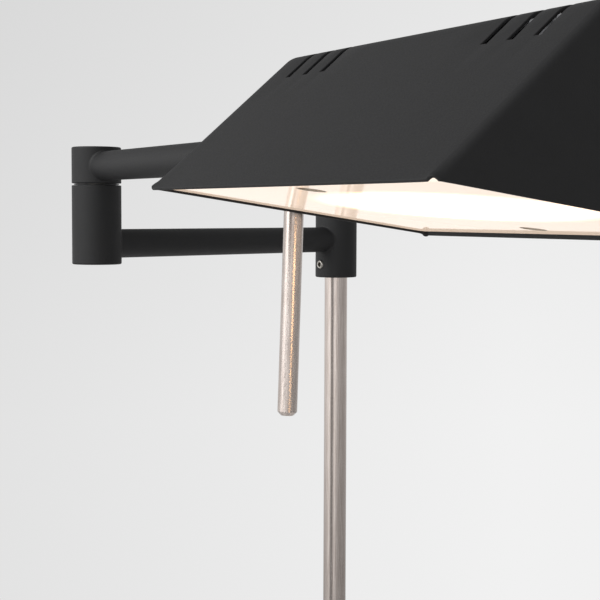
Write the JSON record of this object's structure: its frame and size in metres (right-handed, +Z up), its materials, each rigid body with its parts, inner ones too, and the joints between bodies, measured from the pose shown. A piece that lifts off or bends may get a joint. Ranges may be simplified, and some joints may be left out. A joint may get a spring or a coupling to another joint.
{
  "type": "swing-arm floor lamp",
  "caption": "Floor lamp: weighted disc base, steel pole, two swinging arms with an elbow, and a roof-shaped shade that tilts about the arm, with a turning dimmer rod.",
  "frame": {"origin": "centre of the base's underside, on the floor, on the pole's axis", "axes": "+Z up along the pole; in the rest pose the upper arm and the shade point along -Y"},
  "size_m": [0.4031, 0.6349, 1.2359],
  "materials": {
    "black_coat": "fine textured matt black powder coat",
    "stainless": "brushed lengthwise",
    "zinc": "zinc plated, dull",
    "brass": "turned",
    "cast_iron": "as cast",
    "felt": "felt",
    "rubber": "matt",
    "nylon": "natural nylon",
    "acrylic": "opal acrylic, glossy, lit from behind",
    "white_coat": "white reflector coat",
    "aluminium": "extruded",
    "board": "white solder mask",
    "dark_plastic": "moulded"
  },
  "bodies": {
    "stand": {"base_pad": "felt", "base_weight": "cast_iron", "base_cover": "black_coat", "cord_grommet": "rubber", "base_washer": "zinc", "base_nut": "zinc", "base_nipple": "zinc", "pole_flange": "stainless", "pole_lower": "stainless", "pole_upper": "stainless", "pole_foot_plug": "zinc", "pole_coupler": "zinc", "swivel_spigot": "zinc"},
    "lower_arm": {"pole_collar": "black_coat", "swivel_bush": "nylon", "thrust_washer": "nylon", "collar_screw": "zinc", "lower_arm_tube": "black_coat", "lower_arm_plug_inner": "zinc", "lower_arm_plug_outer": "zinc", "lower_arm_nipple_inner": "zinc", "lower_arm_nipple_outer": "zinc", "elbow_lower_barrel": "black_coat", "elbow_bottom_cap": "black_coat", "elbow_washer": "zinc", "elbow_spring_washer": "zinc", "elbow_bearing": "dark_plastic"},
    "upper_arm": {"elbow_upper_barrel": "black_coat", "elbow_top_cap": "black_coat", "elbow_nut": "zinc", "elbow_pivot_tube": "zinc", "upper_arm_tube": "black_coat", "upper_arm_plug": "zinc", "upper_arm_nipple": "zinc", "head_socket": "black_coat", "dimmer_unit": "dark_plastic", "rod_bush": "brass", "head_spindle": "zinc", "shade_washer": "dark_plastic", "shade_inner_washer": "zinc", "shade_spring_washer": "zinc", "shade_nut": "zinc"},
    "dimmer_rod": {"dimmer_rod": "stainless"},
    "shade": {"shade_shell": "black_coat", "reflector": "white_coat", "led_board": "board", "led_heat_sink": "aluminium", "diffuser": "acrylic", "diffuser_eyelet_left": "zinc", "diffuser_screw_left": "zinc", "diffuser_eyelet_right": "zinc", "diffuser_screw_right": "zinc"}
  },
  "joints": [
    {"name": "arm_swing", "type": "hinge", "parent": "stand", "child": "lower_arm", "pos_m": [0, 0, 1.15], "axis": [0, 0, 1], "range_deg": [-170, 170]},
    {"name": "elbow_swing", "type": "hinge", "parent": "lower_arm", "child": "upper_arm", "pos_m": [-0.20505, -0.06465, 1.185], "axis": [0, 0, 1], "range_deg": [-245, 100]},
    {"name": "shade_tilt", "type": "hinge", "parent": "upper_arm", "child": "shade", "pos_m": [-0.20505, -0.30765, 1.1955], "axis": [0, -1, 0], "range_deg": [-82, 98]},
    {"name": "dimmer_turn", "type": "hinge", "parent": "upper_arm", "child": "dimmer_rod", "pos_m": [-0.20505, -0.30165, 1.1955], "axis": [0.0349, 0, 0.9994], "range_deg": [-200, 70]}
  ]
}
